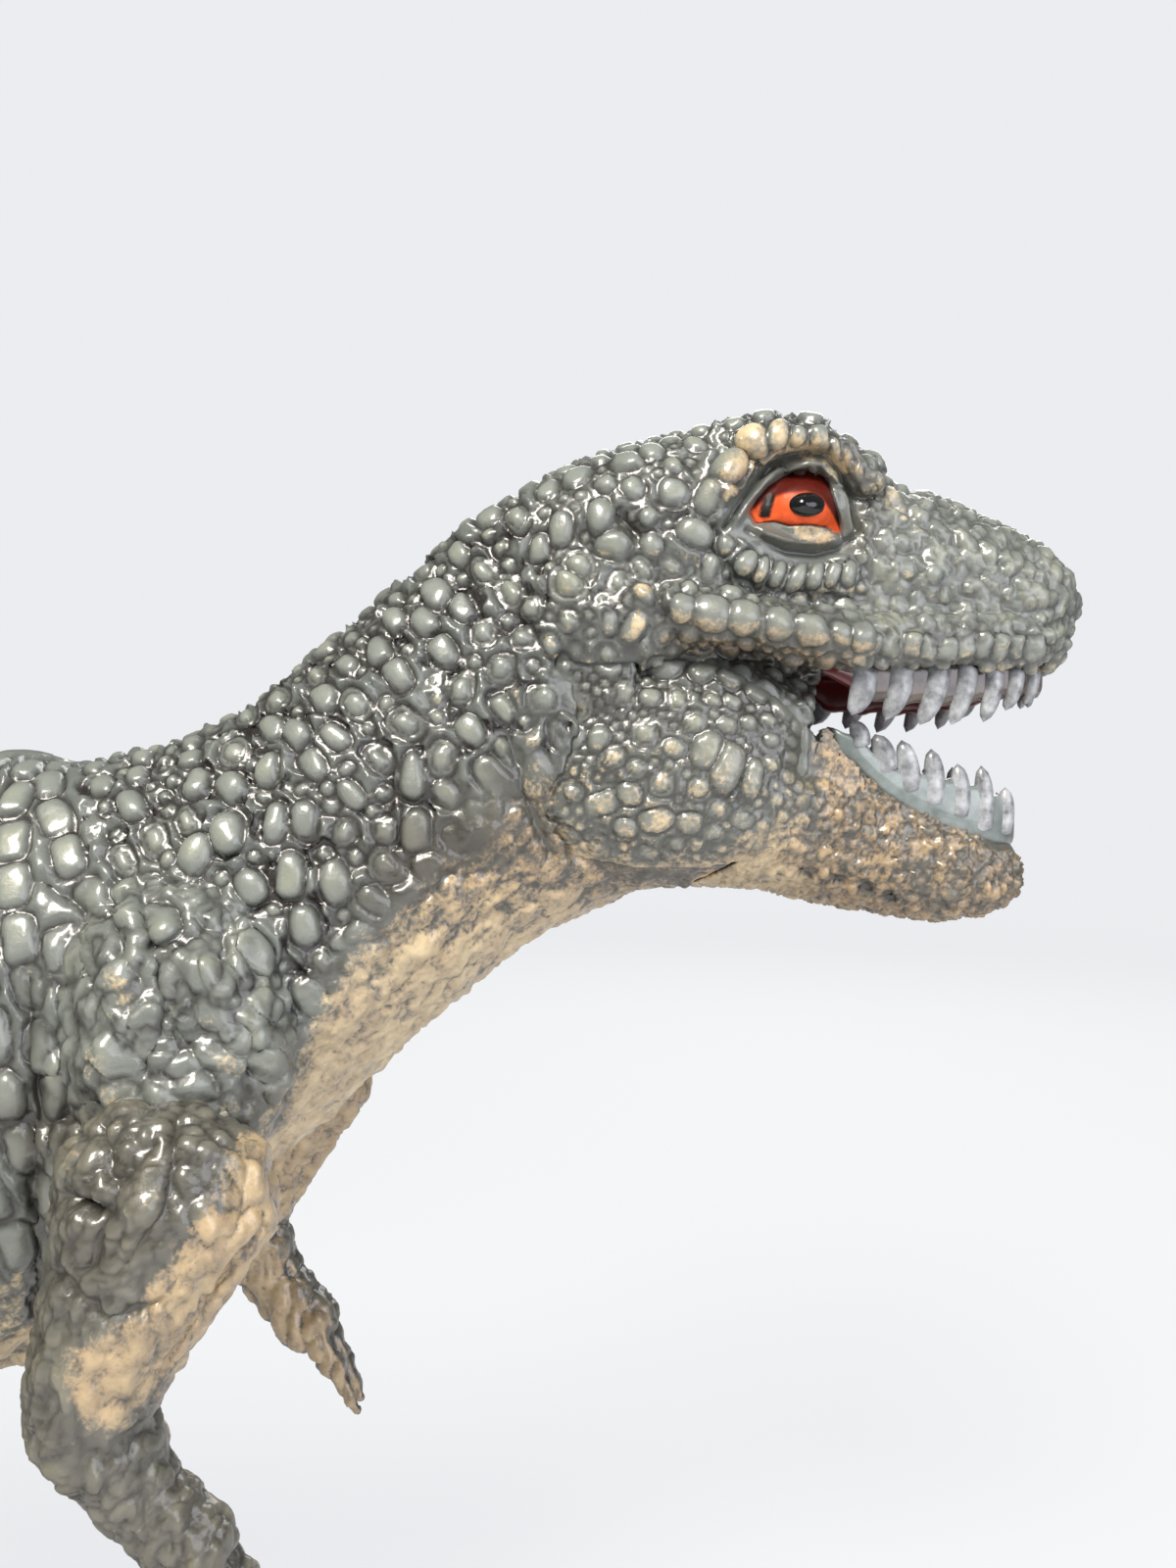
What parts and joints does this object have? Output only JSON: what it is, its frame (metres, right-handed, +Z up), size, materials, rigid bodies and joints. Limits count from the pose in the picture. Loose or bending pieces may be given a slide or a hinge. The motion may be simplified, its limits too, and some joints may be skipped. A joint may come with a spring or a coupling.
{
  "type": "toy dinosaur figure",
  "caption": "Standing two-legged meat-eating dinosaur figure of painted vinyl, with small arms, a long tail, an open toothed mouth and a lower jaw that hinges.",
  "frame": {"origin": "middle of the footprint of the whole figure, on the surface that the soles stand on", "axes": "+X the way the figure faces, from tail tip to snout; +Y its left; +Z up"},
  "size_m": [0.3923, 0.09, 0.2088],
  "materials": {
    "painted_skin": "vinyl with thick glossy grey-green paint, brown wash in the folds and cream dry-brushed underside",
    "teeth": "vinyl painted grey-tan with silver-white teeth",
    "mouth_lining": "vinyl painted dark red",
    "pin": "plain moulded plastic pin"
  },
  "bodies": {
    "figure": {"body_shell_right": "painted_skin", "body_shell_left": "painted_skin", "right_arm": "painted_skin", "left_arm": "painted_skin", "right_leg": "painted_skin", "left_leg": "painted_skin", "tail": "painted_skin", "jaw_pin": "pin", "upper_tooth_strip": "teeth", "palate": "mouth_lining"},
    "jaw": {"lower_jaw": "painted_skin", "lower_tooth_strip": "teeth", "tongue": "mouth_lining"}
  },
  "joints": [
    {"name": "jaw_hinge", "type": "hinge", "parent": "figure", "child": "jaw", "pos_m": [0.1354, 0, 0.1781], "axis": [0, 1, 0], "range_deg": [-12, 5]}
  ]
}
